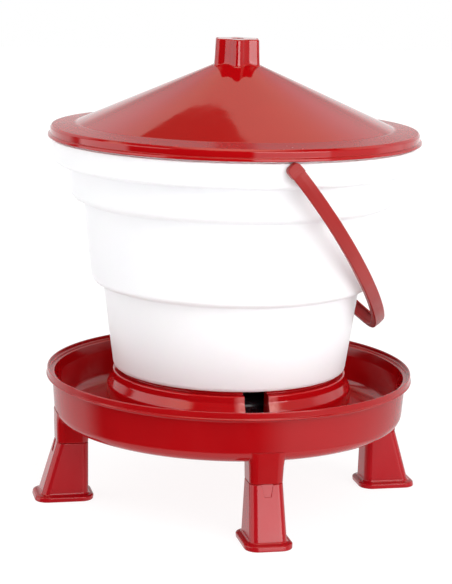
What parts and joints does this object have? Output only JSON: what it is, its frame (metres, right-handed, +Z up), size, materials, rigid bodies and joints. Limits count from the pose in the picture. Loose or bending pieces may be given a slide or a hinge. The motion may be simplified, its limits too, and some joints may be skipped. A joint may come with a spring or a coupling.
{
  "type": "poultry waterer",
  "caption": "Float-valve bucket drinker for poultry: stepped white bucket with carrying handle and conical lid, standing on a round red drinking tray with push-on feet.",
  "frame": {"origin": "on the ground plane under the bucket's axis, between the feet", "axes": "+Z up along the bucket's axis; -Y towards the front foot, +X towards the right foot"},
  "size_m": [0.388, 0.388, 0.4494],
  "materials": {
    "red_plastic": "glossy injection-moulded red plastic",
    "foot_plastic": "glossy injection-moulded red plastic",
    "lid_plastic": "satin-gloss injection-moulded red plastic",
    "handle_plastic": "satin red plastic",
    "white_plastic": "slightly translucent white plastic, soft gloss",
    "valve_plastic": "black plastic",
    "seal_rubber": "black rubber"
  },
  "bodies": {
    "base": {"tray": "red_plastic", "front_foot": "foot_plastic", "right_foot": "foot_plastic", "rear_foot": "foot_plastic", "left_foot": "foot_plastic"},
    "bucket": {"bucket": "white_plastic", "valve_body": "valve_plastic", "outlet_seal": "seal_rubber", "lock_nut": "valve_plastic", "float_cage": "valve_plastic"},
    "lid": {"lid": "lid_plastic"},
    "handle": {"handle": "handle_plastic"},
    "float": {"float": "valve_plastic", "valve_pad": "seal_rubber"}
  },
  "joints": [
    {"name": "bucket_lift", "type": "slide", "parent": "base", "child": "bucket", "axis": [0, 0, 1], "range_m": [0, 0.25]},
    {"name": "lid_lift", "type": "slide", "parent": "bucket", "child": "lid", "axis": [0, 0, 1], "range_m": [0, 0.15]},
    {"name": "handle_swing", "type": "hinge", "parent": "bucket", "child": "handle", "pos_m": [0, 0, 0.346], "axis": [0.0785, -0.9969, 0], "range_deg": [0, 280]},
    {"name": "float_lift", "type": "slide", "parent": "bucket", "child": "float", "axis": [0, 0, 1], "range_m": [0, 0.006]}
  ]
}
